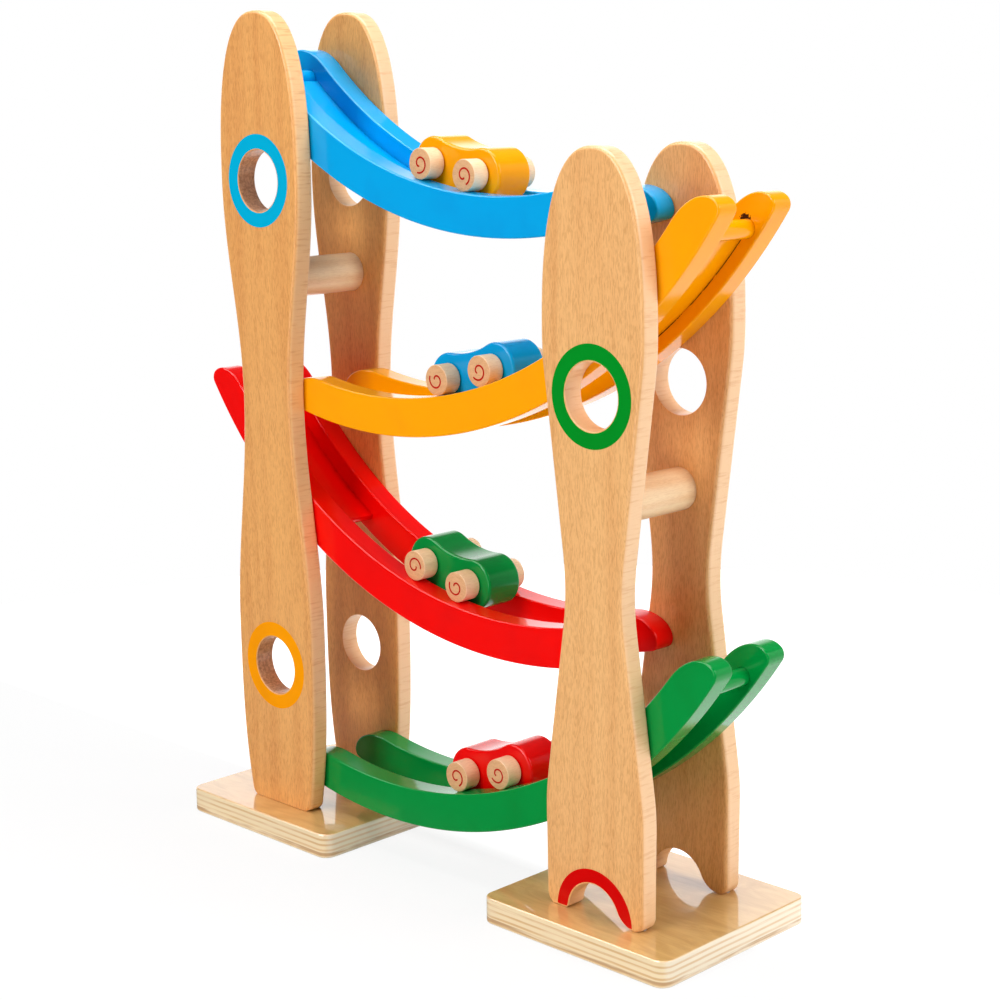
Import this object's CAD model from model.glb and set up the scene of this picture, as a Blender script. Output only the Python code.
# %% [markdown]
# # A wooden ramp racer
# Two beech towers on plywood feet hold four bent tracks, one above the other, and a
# small painted car stands on each track. The packed solids give the place of every
# piece. This lesson makes the pieces again with finer curves and rounded edges, and
# gives each of them its finish: sanded beech, layered plywood, gloss lacquer.
#
# The packed model is loaded first, because every new piece has to ride on one of its
# bodies. Its box is kept, so that the finished model can be compared with it.

# %% Load the packed model
import math

import bpy
import numpy as np
from mathutils import Matrix, Vector
from mathutils.geometry import delaunay_2d_cdt


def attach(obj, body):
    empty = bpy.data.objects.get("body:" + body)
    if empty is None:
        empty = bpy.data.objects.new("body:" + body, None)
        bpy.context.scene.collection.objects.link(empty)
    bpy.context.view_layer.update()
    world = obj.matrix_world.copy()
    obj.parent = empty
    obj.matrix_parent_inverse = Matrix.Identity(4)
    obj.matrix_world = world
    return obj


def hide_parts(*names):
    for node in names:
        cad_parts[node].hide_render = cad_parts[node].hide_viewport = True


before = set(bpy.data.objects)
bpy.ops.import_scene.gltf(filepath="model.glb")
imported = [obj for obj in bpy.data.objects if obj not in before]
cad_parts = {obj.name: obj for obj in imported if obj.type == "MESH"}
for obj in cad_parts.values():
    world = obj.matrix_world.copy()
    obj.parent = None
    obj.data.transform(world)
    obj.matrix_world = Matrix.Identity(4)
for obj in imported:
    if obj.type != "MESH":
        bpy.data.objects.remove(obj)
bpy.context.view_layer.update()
for name in ("Cube", "Light", "Camera"):
    if name in bpy.data.objects:
        bpy.data.objects.remove(bpy.data.objects[name])

# %% [markdown]
# ## Measures
# All drawing is done in millimetres, as in a workshop, and turned into metres when a
# mesh is made. The numbers are those of the solids, so that each piece lies where its
# solid is. Two differ by a few millimetres: the decks start nearer to their dowel, and
# the lower corners of the panels are rounder.

# %% Measures of the toy
MM = 0.001
SIDES = ("left", "right")
FACES = ("front", "back")
TRACKS = ("green", "red", "yellow", "blue")
CARS = ("red", "green", "blue", "yellow")
HALF_SPAN, TOWER_SHIFT = 106.0, 1.8
TOWER_X = {"left": -HALF_SPAN - TOWER_SHIFT, "right": HALF_SPAN - TOWER_SHIFT}
FOOT_L, FOOT_W, FOOT_T, FOOT_R = 106.0, 98.0, 12.0, 6.0
PANEL_GAP, PANEL_T = 46.5, 10.0
RAIL_R, RAIL_H, RAIL_T = 222.0, 18.0, 11.5
MID_R = RAIL_R + RAIL_H / 2
ARC_SHIFT, TRACK_PITCH = 38.4, 93.6
LOW_ARC_Z = 258.9


def sign_of(name):
    """Left and front are -1, right and back are +1."""
    return -1 if name in ("left", "front") else 1


def downhill(track):
    """Direction in which a track runs down: the bottom one to the left, the next to the right."""
    return -1 if track % 2 == 0 else 1


def arc_z(track):
    """Height of the centre of a track's arc."""
    return LOW_ARC_Z + track * TRACK_PITCH


print("arc centres:", [round(arc_z(i), 1) for i in range(len(TRACKS))])

# %% [markdown]
# ## Camera
# The camera stands to the right of the front, a little above the middle, about as far
# away as a photographer's tripod. It is set by its own three axes, which is more exact
# than turning it by eye.

# %% Camera
CAMERA_AT = Vector((657.276, -642.445, 362.75))
CAMERA_YAW, CAMERA_PITCH, CAMERA_ROLL = 0.783, 0.200, -0.014
SENSOR_MM, LENS_MM = 36.0, 73.105

ahead = Vector((
    -math.sin(CAMERA_YAW) * math.cos(CAMERA_PITCH),
    math.cos(CAMERA_YAW) * math.cos(CAMERA_PITCH),
    -math.sin(CAMERA_PITCH),
))
level = Vector((math.cos(CAMERA_YAW), math.sin(CAMERA_YAW), 0))
over = level.cross(ahead)
right = level * math.cos(CAMERA_ROLL) + over * math.sin(CAMERA_ROLL)
up = over * math.cos(CAMERA_ROLL) - level * math.sin(CAMERA_ROLL)
turn = Matrix((right, up, -ahead)).transposed().to_4x4()
camera = bpy.data.objects.new("camera", bpy.data.cameras.new("camera"))
camera.data.sensor_width = SENSOR_MM
camera.data.lens = LENS_MM
camera.matrix_world = Matrix.Translation(CAMERA_AT * MM) @ turn
bpy.context.scene.collection.objects.link(camera)
bpy.context.scene.camera = camera
print("camera at", [round(v, 3) for v in camera.location])

# %% [markdown]
# ## Outlines
# Most pieces of this toy are sawn from a board: panels, rails, decks, car bodies and
# feet. A sawn piece is an outline, so each one is drawn as a closed loop of points that
# runs counter-clockwise. The loops are drawn with many points and then spaced evenly,
# because even spacing gives even quads along the rounded edges. STEP is the distance
# between the points.

# %% Loops of points
STEP = {
    "panel": 1.3, "foot": 1.5, "rail": 1.2, "groove": 1.0,
    "deck": 0.8, "car": 0.9, "swirl": 0.2, "band": 0.6,
}
FEWEST_POINTS = 12


def spaced(points, step):
    """The same closed loop with points about one step apart."""
    points = np.asarray(points, float)
    ring = np.vstack([points, points[:1]])
    run = np.concatenate([[0], np.cumsum(np.linalg.norm(np.diff(ring[:, :2], axis=0), axis=1))])
    count = max(FEWEST_POINTS, int(round(run[-1] / step)))
    at = np.linspace(0, run[-1], count, endpoint=False)
    return np.stack([np.interp(at, run, column) for column in ring.T], 1)


def out_of(loop):
    """Unit directions that point out of a counter-clockwise loop, one for each point."""
    edge = np.roll(loop, -1, 0) - loop
    edge /= np.linalg.norm(edge, axis=1)[:, None]
    both = edge + np.roll(edge, 1, 0)
    both /= np.linalg.norm(both, axis=1)[:, None]
    return np.stack([both[:, 1], -both[:, 0]], 1)


def circle(x, z, radius, count=96):
    """A round loop."""
    angle = np.linspace(0, 2 * math.pi, count, endpoint=False)
    return np.stack([x + radius * np.cos(angle), z + radius * np.sin(angle)], 1)


def arc(x, z, radius, start, end, count=40):
    """Points on a circle from one angle to another, in degrees."""
    angle = np.radians(np.linspace(start, end, count))
    return np.stack([x + radius * np.cos(angle), z + radius * np.sin(angle)], 1)


print("a circle has", len(circle(0, 0, 1)), "points")

# %% [markdown]
# ## Boards
# A board is its outline with some thickness, rounded edges and holes. The rounded edge
# could be made with a Bevel modifier after cutting the holes with Booleans, but bevels
# break where holes meet them. Here the rings of the rounding are laid one by one, and
# only the two flat faces are filled by triangles, so the mesh is closed and clean. The
# direction of every corner's normal is known, so it is written into the mesh: flat faces
# stay flat and the roundings shade softly.

# %% Mesh builder
SAME_POINT = 1e-6  # mm, nearer points count as one
SLIVER = 1e-6  # square mm, twice the area of a triangle that is too thin to keep


class Board:
    """Collects the points, faces and corner normals of one closed piece, in u, v and w."""

    def __init__(self):
        self.points, self.faces, self.normals, self.count = [], [], [], 0

    def ring(self, loop, w):
        """Adds a loop of points at height w and gives the number of its first point."""
        self.points.append(np.column_stack([loop, np.broadcast_to(w, len(loop))]))
        self.count += len(loop)
        return self.count - len(loop)

    def band(self, low, high, low_normals, high_normals, inside=False):
        """Joins two rings by quads. A band inside a hole faces the other way."""
        j = np.arange(len(low_normals))
        k = np.roll(j, -1)
        quads = np.stack([low + j, low + k, high + k, high + j], 1)
        corners = np.stack([low_normals[j], low_normals[k], high_normals[k], high_normals[j]], 1)
        if inside:
            quads, corners = quads[:, ::-1], corners[:, ::-1]
        self.faces += quads.tolist()
        self.normals.append(corners.reshape(-1, 3))

    def fill(self, loops, starts, way):
        """Fills a flat face between loops by triangles that look up or down."""
        flat = np.vstack(loops)
        index = np.concatenate([s + np.arange(len(p)) for s, p in zip(starts, loops)])
        firsts = np.cumsum([0] + [len(p) for p in loops[:-1]])
        ends = np.concatenate([np.roll(np.arange(len(p)), -1) + n for p, n in zip(loops, firsts)])
        edges = [(i, int(e)) for i, e in enumerate(ends)]
        points = [Vector(p) for p in flat]
        _, _, triangles, source, _, _ = delaunay_2d_cdt(points, edges, [], 0, SAME_POINT)
        triangles = np.array([[source[i][0] for i in t] for t in triangles])
        a, b, c = (flat[triangles[:, i]] for i in range(3))
        middle = (a + b + c) / 3
        p, q = flat, flat[ends]
        across = (p[None, :, 1] > middle[:, None, 1]) != (q[None, :, 1] > middle[:, None, 1])
        rise = np.where(q[:, 1] == p[:, 1], 1, q[:, 1] - p[:, 1])
        cut = p[None, :, 0] + (middle[:, None, 1] - p[None, :, 1]) * ((q - p)[:, 0] / rise)[None, :]
        keep = (across & (cut > middle[:, None, 0])).sum(1) % 2 == 1
        turn = (b - a)[:, 0] * (c - a)[:, 1] - (b - a)[:, 1] * (c - a)[:, 0]
        keep &= np.abs(turn) > SLIVER
        triangles = np.where((turn * way > 0)[:, None], triangles, triangles[:, ::-1])[keep]
        self.faces += index[triangles].tolist()
        self.normals.append(np.tile((0.0, 0.0, float(way)), (3 * len(triangles), 1)))

    def made(self, name, axes, origin=(0, 0, 0)):
        """Turns the board into a Blender object: axes are the directions of u, v and w."""
        turn = np.array(axes, float).T
        points = (np.vstack(self.points) @ turn.T + np.array(origin)) * MM
        mesh = bpy.data.meshes.new(name)
        mesh.from_pydata(points.tolist(), [], self.faces)
        mesh.polygons.foreach_set("use_smooth", [True] * len(mesh.polygons))
        mesh.normals_split_custom_set((np.vstack(self.normals) @ turn.T).tolist())
        piece = bpy.data.objects.new(name, mesh)
        bpy.context.scene.collection.objects.link(piece)
        return piece


print("points nearer than", SAME_POINT, "mm count as one")

# %% [markdown]
# The rounding goes round the outside of a board and round the rims of its holes, where it
# is smaller. A hole goes right through, or it is blind: then it has a depth and the face
# that it is drilled in.

# %% Board with rounded edges
EASE_ANGLES = np.radians((0, 18, 36, 54, 72, 90))


def opening(loop, ease, face=0, depth=0.0):
    """A hole for a board; a blind one has its depth and its face, -1 or +1."""
    return {"loop": loop, "ease": ease, "face": face, "depth": depth}


def tilted(out, angle, way):
    """Normals between the flat face (angle 0) and the edge of a board (angle 90)."""
    return np.column_stack([out * math.sin(angle), np.full(len(out), way * math.cos(angle))])


def board(outline, thickness, ease, holes=()):
    """A board with rounded edges; ease is one radius or one for each point."""
    made = Board()
    half = thickness / 2
    ease = np.broadcast_to(np.asarray(ease, float), len(outline))
    out = out_of(outline)
    rings = []
    for way in (-1, 1):
        for angle in EASE_ANGLES if way < 0 else EASE_ANGLES[::-1]:
            loop = outline - out * (ease * (1 - math.sin(angle)))[:, None]
            w = way * (half - ease * (1 - math.cos(angle)))
            rings.append((made.ring(loop, w), tilted(out, angle, way), loop))
    for (low, low_n, _), (high, high_n, _) in zip(rings, rings[1:]):
        made.band(low, high, low_n, high_n)
    caps = {-1: [(rings[0][0], rings[0][2])], 1: [(rings[-1][0], rings[-1][2])]}
    for hole in holes:
        loop, round_off, face = hole["loop"], hole["ease"], hole["face"]
        out = out_of(loop)
        walls = []
        for way in (face,) if face else (-1, 1):
            run = []
            for angle in EASE_ANGLES:
                wide = loop + out * round_off * (1 - math.sin(angle))
                w = way * (half - round_off * (1 - math.cos(angle)))
                run.append((made.ring(wide, w), tilted(-out, angle, way), wide))
            for (one, one_n, _), (two, two_n, _) in zip(run, run[1:]):
                made.band(one, two, one_n, two_n, inside=way < 0)
            caps[way].append((run[0][0], run[0][2]))
            walls.append(run[-1])
        if face:
            top, normals, _ = walls[0]
            floor = made.ring(loop, face * (half - hole["depth"]))
            made.band(top, floor, normals, normals, inside=face < 0)
            made.fill([loop], [floor], face)
        else:
            made.band(walls[0][0], walls[1][0], walls[0][1], walls[1][1], inside=True)
    for way, loops in caps.items():
        made.fill([loop for _, loop in loops], [start for start, _ in loops], way)
    return made


print("a rounded edge has", len(EASE_ANGLES) - 1, "steps")

# %% [markdown]
# ## Round pieces
# Dowels and wheels are turned on a lathe. In Blender that could be a Screw modifier, but
# a wheel needs a blind bore, a flat end and two eased rims in one closed mesh. So the
# same builder lays the rings: a profile is a list of runs, each smooth in itself, and
# the edge between two runs stays crisp.

# %% Lathe builder
def rim(radius, height, ease, way):
    """A run of points that rounds a rim: way is -1 at the low end and +1 at the high end."""
    angles = EASE_ANGLES if way < 0 else EASE_ANGLES[::-1]
    return [(radius - ease * (1 - math.sin(a)), height - way * ease * (1 - math.cos(a))) for a in angles]


def turned(runs, count=72):
    """A closed round piece about the w axis, from its first flat end to its last one."""
    made = Board()
    unit = circle(0, 0, 1, count)
    first = last = None
    for run in runs:
        run = np.asarray(run, float)
        step = np.diff(run, axis=0)
        tangent = np.vstack([step[:1], (step[1:] + step[:-1]) / 2, step[-1:]])
        tangent /= np.linalg.norm(tangent, axis=1)[:, None]
        before = None
        for k, (r, h) in enumerate(run):
            same = last is not None and k == 0
            start = last if same else made.ring(unit * r, h)
            normals = np.column_stack([unit * tangent[k, 1], np.full(count, -tangent[k, 0])])
            if before is not None:
                made.band(before[0], start, before[1], normals)
            before, last = (start, normals), start
            first = start if first is None else first
    low, high = runs[0][0], runs[-1][-1]
    made.fill([unit * low[0]], [first], -1)
    made.fill([unit * high[0]], [last], 1)
    return made


print("a rim has", len(rim(1, 0, 0.1, -1)), "rings")

# %% [markdown]
# ## Towers
# Each tower is a pair of panels sawn from 10 mm beech: the left ones swell at the hip
# and the head, the right ones have a narrow waist and stand on two legs with an arch
# between them. The curves are those of the solids, drawn with more points. The long
# edges are rounded over by 2 mm, and more towards the floor, where the ends of the legs
# look like fingers and their corners are round. The sawn arch and windows are only sanded,
# so their ease is a lot smaller. A third column of the outline carries that ease, and it
# is spaced together with the points.

# %% Curves of the panels
CORNER_R, EDGE_EASE, SANDED_EASE, STANDING_EASE, STANDING_POWER = 3.0, 2.0, 0.5, 0.8, 0.25
LEG_EASE, LEG_H, FOOT_ROUND = 2.9, 50.0, 4.8
LEFT_H, LEFT_HEAD_W, LEFT_WAIST_W, LEFT_HIP_W, LEFT_FOOT_W = 388.0, 28.7, 18.0, 28.0, 22.4
LEFT_HEAD_Z, LEFT_WAIST_Z, LEFT_HIP_Z = LEFT_H * 0.799, LEFT_H * 0.528, LEFT_H * 0.232
RIGHT_H, RIGHT_HEAD_W, RIGHT_WAIST_W, RIGHT_FOOT_W = 328.0, 28.5, 16.3, 28.2
RIGHT_HEAD_Z, RIGHT_WAIST_Z, RIGHT_FLARE_Z = RIGHT_H * 0.768, RIGHT_H * 0.433, RIGHT_H * 0.134
LEFT_CROWN, RIGHT_CROWN, FLANK_BEND, HIP_POWER = 2.5, 2.4, 0.15, 3
ARCH_R, ARCH_LIFT = 14.5, 0.5
FLARE_R = {"left": 2.5, "right": 11.0}


def foot_corner(w):
    """The rounded lower corner of a panel, from the bottom up."""
    return arc(w - FOOT_ROUND, FOOT_ROUND, FOOT_ROUND, -90, 0, 24)


def flank(w0, z0, w1, z1, bend=None, count=60):
    """Half widths between two heights: an S-curve, or a straight line with bent ends."""
    t = np.linspace(0, 1, count)
    if bend is None:
        share = (1 - np.cos(math.pi * t)) / 2
    else:
        end = np.minimum(t, 1 - t)
        curved = end ** 2 / (2 * bend * (1 - bend))
        share = np.where(end < bend, curved, (end - bend / 2) / (1 - bend))
        share = np.where(t > 0.5, 1 - share, share)
    return np.stack([w0 + (w1 - w0) * share, z0 + (z1 - z0) * t], 1)


def crown(w, z0, z1, fullness):
    """A quarter of the rounded head, from its widest place to the top."""
    a = np.radians(np.linspace(90, 0, 80))
    across, upward = np.sin(a) ** (2 / fullness), np.abs(np.cos(a)) ** (2 / fullness)
    return np.stack([w * across, z0 + (z1 - z0) * upward], 1)


def hip(w0, w1, z1):
    """Draws the left panels in from the hip to the foot."""
    z = np.linspace(FOOT_ROUND, z1, 40)
    return np.stack([w1 - (w1 - w0) * (1 - z / z1) ** HIP_POWER, z], 1)


def flare_turn(side):
    """Where a leg stands at its inner side, and the angle at which its curve meets the arch."""
    r = FLARE_R[side]
    stand_x = math.sqrt((ARCH_R + r) ** 2 - (r - ARCH_LIFT) ** 2)
    return stand_x, math.degrees(math.asin((r - ARCH_LIFT) / (ARCH_R + r)))


def arch_path(grow=0.0):
    """The arch from the left leg over to the right leg; grow moves it into the wood."""
    (left_x, left_turn), (right_x, right_turn) = flare_turn("left"), flare_turn("right")
    left_r, right_r = FLARE_R["left"], FLARE_R["right"]
    return [
        arc(-left_x, left_r, left_r - grow, -90, -left_turn, 30),
        arc(0, ARCH_LIFT, ARCH_R + grow, 180 - left_turn, right_turn, 60),
        arc(right_x, right_r, right_r - grow, 180 + right_turn, 270, 30),
    ]


def with_ease(points, start, end):
    """Adds the ease of the edge as a third column."""
    return np.column_stack([points, np.linspace(start, end, len(points))])


def mirrored(half):
    """Both sides of a panel, up the right side and down the left side, with their ease."""
    half = np.vstack(half)
    left = half[::-1] * (-1, 1)
    both = np.vstack([half, left[1:]])
    height = np.maximum(both[:, 1], 0)
    full = EDGE_EASE + (LEG_EASE - EDGE_EASE) * np.clip(1 - height / LEG_H, 0, 1) ** 2
    ease = np.clip(full * (height / CORNER_R) ** STANDING_POWER, STANDING_EASE, full)
    return np.column_stack([both, ease])


print("the arch meets the legs at", [round(flare_turn(side)[1], 1) for side in SIDES], "degrees")

# %% [markdown]
# The left outline rises from the foot over the hip and the waist to the head. The right
# one rises from a straight leg to the waist and the head, and the arch closes it below.

# %% Panel outlines
left_hip = hip(LEFT_FOOT_W, LEFT_HIP_W, LEFT_HIP_Z)
left_loop = mirrored([
    foot_corner(left_hip[0, 0]),
    left_hip[1:],
    flank(LEFT_HIP_W, LEFT_HIP_Z, LEFT_WAIST_W, LEFT_WAIST_Z)[1:],
    flank(LEFT_WAIST_W, LEFT_WAIST_Z, LEFT_HEAD_W, LEFT_HEAD_Z)[1:],
    crown(LEFT_HEAD_W, LEFT_HEAD_Z, LEFT_H, LEFT_CROWN)[1:],
])
left_flare, arch_bow, right_flare = arch_path()
right_loop = np.vstack([
    mirrored([
        foot_corner(RIGHT_FOOT_W),
        flank(RIGHT_FOOT_W, RIGHT_FLARE_Z, RIGHT_WAIST_W, RIGHT_WAIST_Z, FLANK_BEND),
        flank(RIGHT_WAIST_W, RIGHT_WAIST_Z, RIGHT_HEAD_W, RIGHT_HEAD_Z, FLANK_BEND)[1:],
        crown(RIGHT_HEAD_W, RIGHT_HEAD_Z, RIGHT_H, RIGHT_CROWN)[1:],
    ]),
    with_ease(left_flare, STANDING_EASE, SANDED_EASE),
    with_ease(arch_bow[1:-1], SANDED_EASE, SANDED_EASE),
    with_ease(right_flare, SANDED_EASE, STANDING_EASE),
])
print("points of the outlines:", len(left_loop), len(right_loop))

# %% [markdown]
# The panels stand upright, so the drawing's first direction is X, its second is Z, and
# the thickness runs to the front. The windows go right through. The tie dowel sits in a
# blind socket on the inner face of each panel.

# %% Panels
UPRIGHT = ((1, 0, 0), (0, 0, 1), (0, -1, 0))
PANEL_Y = (PANEL_GAP + PANEL_T) / 2
WINDOW_R = 14.5
WINDOWS = {"left": (309.4, 71.8), "right": (226.6,)}
TIE_R, TIE_SOCKET = 9.5, 5.0
TIE_Z = {"left": 262.5, "right": 180.0}
GLUE_GAP, DRILLED_EASE = 0.05, 0.2


def stands_for(piece, node, body):
    """The piece takes the place of a solid, rides on its body and has its finish."""
    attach(piece, body)
    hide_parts(node)
    return piece


panels = {}
for side, loop in (("left", left_loop), ("right", right_loop)):
    loop = spaced(loop, STEP["panel"])
    for face in FACES:
        socket = circle(0, TIE_Z[side], TIE_R + GLUE_GAP)
        holes = [opening(circle(0, z, WINDOW_R), SANDED_EASE) for z in WINDOWS[side]]
        holes.append(opening(socket, DRILLED_EASE, sign_of(face), TIE_SOCKET))
        name = f"{side}_{face}_panel"
        panel = board(loop[:, :2], PANEL_T, loop[:, 2], holes)
        panel = panel.made(f"sanded_{name}", UPRIGHT, (TOWER_X[side], sign_of(face) * PANEL_Y, FOOT_T))
        panels[side, face] = stands_for(panel, name, "stand")
print("panels:", [len(p.data.polygons) for p in panels.values()], "faces")

# %% [markdown]
# ## Feet
# Each tower stands on a plate of 12 mm plywood with rounded corners. Its edges are only
# broken with sandpaper. The screws come from below, so the plate has four shallow holes
# on its underside, in which the heads of the solids' screws are seen.

# %% Plywood feet
FOOT_EASE = 0.8
FLAT = ((1, 0, 0), (0, 1, 0), (0, 0, 1))
SCREW_X = {"left": 11.0, "right": (flare_turn("right")[0] + RIGHT_FOOT_W - CORNER_R) / 2}
SCREW_HOLE_R, SCREW_HOLE_DEPTH = 3.6, 2.2


def rounded_rectangle(length, width, radius):
    """A rectangle with round corners, counter-clockwise."""
    x, y = length / 2 - radius, width / 2 - radius
    corners = ((x, -y, -90), (x, y, 0), (-x, y, 90), (-x, -y, 180))
    return np.vstack([arc(cx, cy, radius, start, start + 90, 16) for cx, cy, start in corners])


feet = {}
for side in SIDES:
    spots = [(sx * SCREW_X[side], sy * PANEL_Y) for sx in (-1, 1) for sy in (-1, 1)]
    holes = [opening(circle(*at, SCREW_HOLE_R, 40), DRILLED_EASE, -1, SCREW_HOLE_DEPTH) for at in spots]
    foot = board(spaced(rounded_rectangle(FOOT_L, FOOT_W, FOOT_R), STEP["foot"]), FOOT_T, FOOT_EASE, holes)
    foot = foot.made(f"varnished_{side}_plywood_foot", FLAT, (TOWER_X[side], 0, FOOT_T / 2))
    feet[side] = stands_for(foot, f"{side}_plywood_foot", "stand")
print("feet:", [len(f.data.polygons) for f in feet.values()], "faces")

# %% [markdown]
# ## Tie dowels
# A thick dowel ties the two panels of a tower together. It is turned along its own Z
# axis, because the grain of a dowel runs along it, and then laid down along Y. Keeping
# that in the object's own placing lets one wood finish serve panels, dowels and wheels.

# %% Tie dowels
LAID_BACK = Matrix(((1, 0, 0), (0, 0, -1), (0, 1, 0))).to_4x4()
LAID_BACK_TURNED = Matrix(((-1, 0, 0), (0, 0, 1), (0, 1, 0))).to_4x4()
SOCKET_PLAY, TIE_EASE = 0.02, 0.5


def dowel(name, radius, length, ease, x, z, count=72):
    """A dowel along Y with its middle at x, z."""
    half = length / 2
    piece = turned([
        rim(radius, -half, ease, -1),
        [(radius, -half + ease), (radius, 0), (radius, half - ease)],
        rim(radius, half, ease, 1),
    ], count).made(name, FLAT)
    piece.matrix_world = Matrix.Translation(Vector((x, 0, z)) * MM) @ LAID_BACK
    return piece


ties = {}
for side in SIDES:
    length = PANEL_GAP + 2 * (TIE_SOCKET - SOCKET_PLAY)
    tie = dowel(f"turned_{side}_tie_dowel", TIE_R, length, TIE_EASE, TOWER_X[side], FOOT_T + TIE_Z[side])
    ties[side] = stands_for(tie, f"{side}_tie_dowel", "stand")
print("tie dowels:", len(ties), "of", round(length, 2), "mm")

# %% [markdown]
# ## Tracks
# A track is two rails on the same arc, held apart by a short dowel near the high tip. The
# three upper tracks each have a thin bent deck near that tip, on which a falling car
# lands. A rail could be a curve with a bevel, but its ends are not square: the upper
# corner is a long nose and the lower one a small chin. As a sawn board its outline has
# them both.

# %% Rail outlines
NOSE_L, NOSE_H, CHIN_L, CHIN_H = 20.0, 13.0, 4.5, 4.5
LOW_END_SHORT = 5.8
TIP_PAST = (50.3, 50.3, 50.3, 25.2)
LOW_ANGLE = math.degrees(math.asin((HALF_SPAN - LOW_END_SHORT - ARC_SHIFT) / MID_R))
SPACER_BACK, SPACER_DEPTH, SPACER_R, SPACER_SOCKET = 17.4, 11.5, 4.0, 6.0
DECK_BACK, DECK_DEPTH, DECK_T, DECK_L = 4.8, 8.7, 3.0, 81.5


def along(length):
    """The angle of a length along the middle of a rail, in degrees."""
    return math.degrees(length / MID_R)


def tip_angle(track):
    """The angle of a rail's high tip from straight down, uphill negative."""
    return math.degrees(math.asin((-HALF_SPAN - TIP_PAST[track] - ARC_SHIFT) / MID_R))


def spacer_angle(track):
    """The angle of a track's spacer dowel."""
    return tip_angle(track) + along(SPACER_BACK)


def deck_angle(track):
    """The angle at which a track's deck starts."""
    return spacer_angle(track) + along(DECK_BACK)


def on_arc(track, angle, radius):
    """Points of the drawing at angles and radii of a track's arc."""
    a, r = np.broadcast_arrays(np.radians(angle), radius)
    d = downhill(track)
    return np.stack([d * (ARC_SHIFT + r * np.sin(a)), arc_z(track) - r * np.cos(a)], 1)


def spacer_at(track):
    """The middle of a track's spacer dowel."""
    return on_arc(track, [spacer_angle(track)], RAIL_R + SPACER_DEPTH)[0]


def counter_clockwise(track, loop):
    """Tracks that run down to the left are mirrored, so their loops are turned round."""
    return loop if downhill(track) > 0 else loop[::-1]


def rail_loop(track):
    """The outline of a rail with its rounded ends."""
    q = np.radians(np.linspace(0, 90, 24))
    nose = np.stack([-NOSE_L * (1 - np.sin(q)), NOSE_H * (1 - np.cos(q))], 1)
    chin = np.stack([-CHIN_L * (1 - np.cos(q)), RAIL_H - CHIN_H * (1 - np.sin(q))], 1)
    end = np.vstack([nose, chin])
    low, tip = LOW_ANGLE, tip_angle(track)
    run = np.linspace(tip + along(CHIN_L), low - along(CHIN_L), 200)
    back = np.linspace(low - along(NOSE_L), tip + along(NOSE_L), 200)
    shift = np.degrees(end[:, 0] / MID_R)
    return counter_clockwise(track, np.vstack([
        on_arc(track, run, RAIL_R + RAIL_H),
        on_arc(track, (low + shift)[::-1], RAIL_R + end[::-1, 1])[1:],
        on_arc(track, back, RAIL_R)[1:],
        on_arc(track, tip - shift, RAIL_R + end[:, 1])[1:-1],
    ]))


def strip_loop(track, start, length, depth, height):
    """The side view of a bent strip, as long as it lies in a groove of a rail."""
    a = np.linspace(start, start + along(length), 90)
    return counter_clockwise(track, np.vstack([
        on_arc(track, a, RAIL_R + depth + height), on_arc(track, a[::-1], RAIL_R + depth)]))


print("tips at", [round(tip_angle(i), 1) for i in range(len(TRACKS))], "degrees")

# %% [markdown]
# Each rail has a blind hole for the spacer dowel on its inner face, and a groove for the
# deck. In the yellow back rail the groove is a little too wide, so a joint stays open.

# %% Rails
RAIL_EASE, GROOVE, GROOVE_EASE = 0.9, 2.5, 0.05
DECK_PLAY, OPEN_GAP = 0.1, 0.2

rails = {}
for i, track in enumerate(TRACKS):
    loop = spaced(rail_loop(i), STEP["rail"])
    for face in FACES:
        inner = sign_of(face)
        holes = [opening(circle(*spacer_at(i), SPACER_R + GLUE_GAP, 64), DRILLED_EASE, inner, SPACER_SOCKET)]
        if i > 0:
            gap = OPEN_GAP if (track, face) == ("yellow", "back") else DECK_PLAY
            groove = strip_loop(i, deck_angle(i) - along(DECK_PLAY), DECK_L + 2 * DECK_PLAY,
                                DECK_DEPTH - DECK_PLAY, DECK_T + DECK_PLAY + gap)
            holes.append(opening(spaced(groove, STEP["groove"]), GROOVE_EASE, inner, GROOVE))
        name = f"{track}_{face}_rail"
        rail = board(loop, RAIL_T, RAIL_EASE, holes)
        rail = rail.made(f"lacquered_{name}", UPRIGHT, (0, inner * (PANEL_GAP - RAIL_T) / 2, 0))
        rails[track, face] = stands_for(rail, name, "stand")
print("rails:", [len(r.data.polygons) for r in rails.values()], "faces")

# %% [markdown]
# The deck is a strip bent along the same arc, glued into grooves in both rails. The
# spacer dowel sits in blind holes. Both are painted together with their track.

# %% Decks and spacer dowels
SLOT_W = PANEL_GAP - 2 * RAIL_T
DECK_W, DECK_EASE = SLOT_W + 2 * (GROOVE - DECK_PLAY), 0.15
SPACER_L, SPACER_EASE = SLOT_W + 2 * (SPACER_SOCKET - SOCKET_PLAY), 0.4
decks, spacers = {}, {}
for i, track in enumerate(TRACKS):
    spacer = dowel(f"turned_{track}_spacer_dowel", SPACER_R, SPACER_L, SPACER_EASE, *spacer_at(i), 56)
    spacers[track] = stands_for(spacer, f"{track}_spacer_dowel", "stand")
    if i > 0:
        loop = spaced(strip_loop(i, deck_angle(i), DECK_L, DECK_DEPTH, DECK_T), STEP["deck"])
        deck = board(loop, DECK_W, DECK_EASE).made(f"bent_{track}_landing_deck", UPRIGHT)
        decks[track] = stands_for(deck, f"{track}_landing_deck", "stand")
print("decks:", list(decks), "spacers:", len(spacers))

# %% [markdown]
# ## Cars
# A car body is sawn like a peanut: two round lobes and a shallow hollow between them,
# above and below. It is drawn about its own middle and then set down on its track by
# its placing, so that it can roll with its body and keep its finish in place.

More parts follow.
